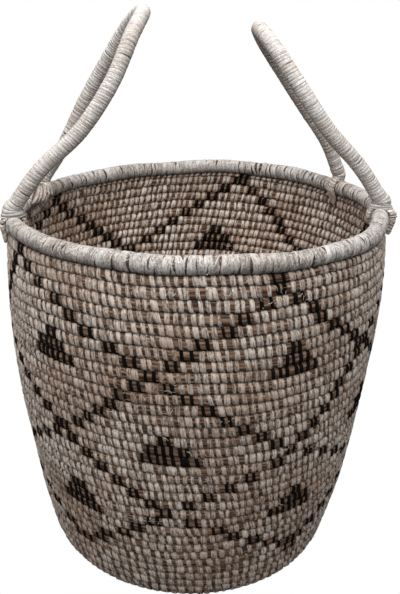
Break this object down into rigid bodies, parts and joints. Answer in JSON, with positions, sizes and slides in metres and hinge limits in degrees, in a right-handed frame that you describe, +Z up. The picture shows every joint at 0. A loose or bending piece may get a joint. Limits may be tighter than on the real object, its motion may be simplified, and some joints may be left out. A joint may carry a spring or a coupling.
{
  "type": "laundry basket",
  "caption": "Coiled grass laundry basket sewn with palm leaf, with a fat wrapped rim and a pair of inward-leaning wrapped rope handles that swing on the rim.",
  "frame": {"origin": "middle of the base on the floor, under the middle of the rim", "axes": "+Z up along the basket's axis, +Y to the back, handles at -X (left) and +X (right)"},
  "size_m": [0.4137, 0.4084, 0.6023],
  "materials": {
    "stitched_coil": "grass bundle sewn with spaced cream palm leaf stitches, matt",
    "grass_core": "bare brown grass bundle, matt",
    "rim_leaf_wrap": "close cream palm leaf wrapping, matt with a faint leaf gloss",
    "handle_leaf_wrap": "close cream palm leaf wrapping over rope, matt",
    "black_leaf_stitch": "black-dyed palm leaf stitches of the diamond pattern, matt"
  },
  "bodies": {
    "basket": {"base_start_knot": "stitched_coil", "base_coil": "stitched_coil", "wall_coil_lower": "stitched_coil", "wall_coil_middle": "stitched_coil", "wall_coil_upper": "stitched_coil", "rim_core": "grass_core", "rim_wrap": "rim_leaf_wrap", "tail_left_front_outer": "handle_leaf_wrap", "tail_left_front_inner": "handle_leaf_wrap", "tail_left_rear_outer": "handle_leaf_wrap", "tail_left_rear_inner": "handle_leaf_wrap", "tail_right_front_outer": "handle_leaf_wrap", "tail_right_front_inner": "handle_leaf_wrap", "tail_right_rear_outer": "handle_leaf_wrap", "tail_right_rear_inner": "handle_leaf_wrap"},
    "left_handle": {"handle_left_core": "grass_core", "handle_left_wrap": "handle_leaf_wrap"},
    "right_handle": {"handle_right_core": "grass_core", "handle_right_wrap": "handle_leaf_wrap"}
  },
  "joints": [
    {"name": "left_handle_swing", "type": "hinge", "parent": "basket", "child": "left_handle", "pos_m": [-0.18215, 0.00493, 0.40775], "axis": [-0.027, -0.9993, 0.024], "range_deg": [-20, 120]},
    {"name": "right_handle_swing", "type": "hinge", "parent": "basket", "child": "right_handle", "pos_m": [0.18015, 0.03502, 0.4171], "axis": [-0.1908, 0.9816, 0], "range_deg": [-20, 120]}
  ]
}
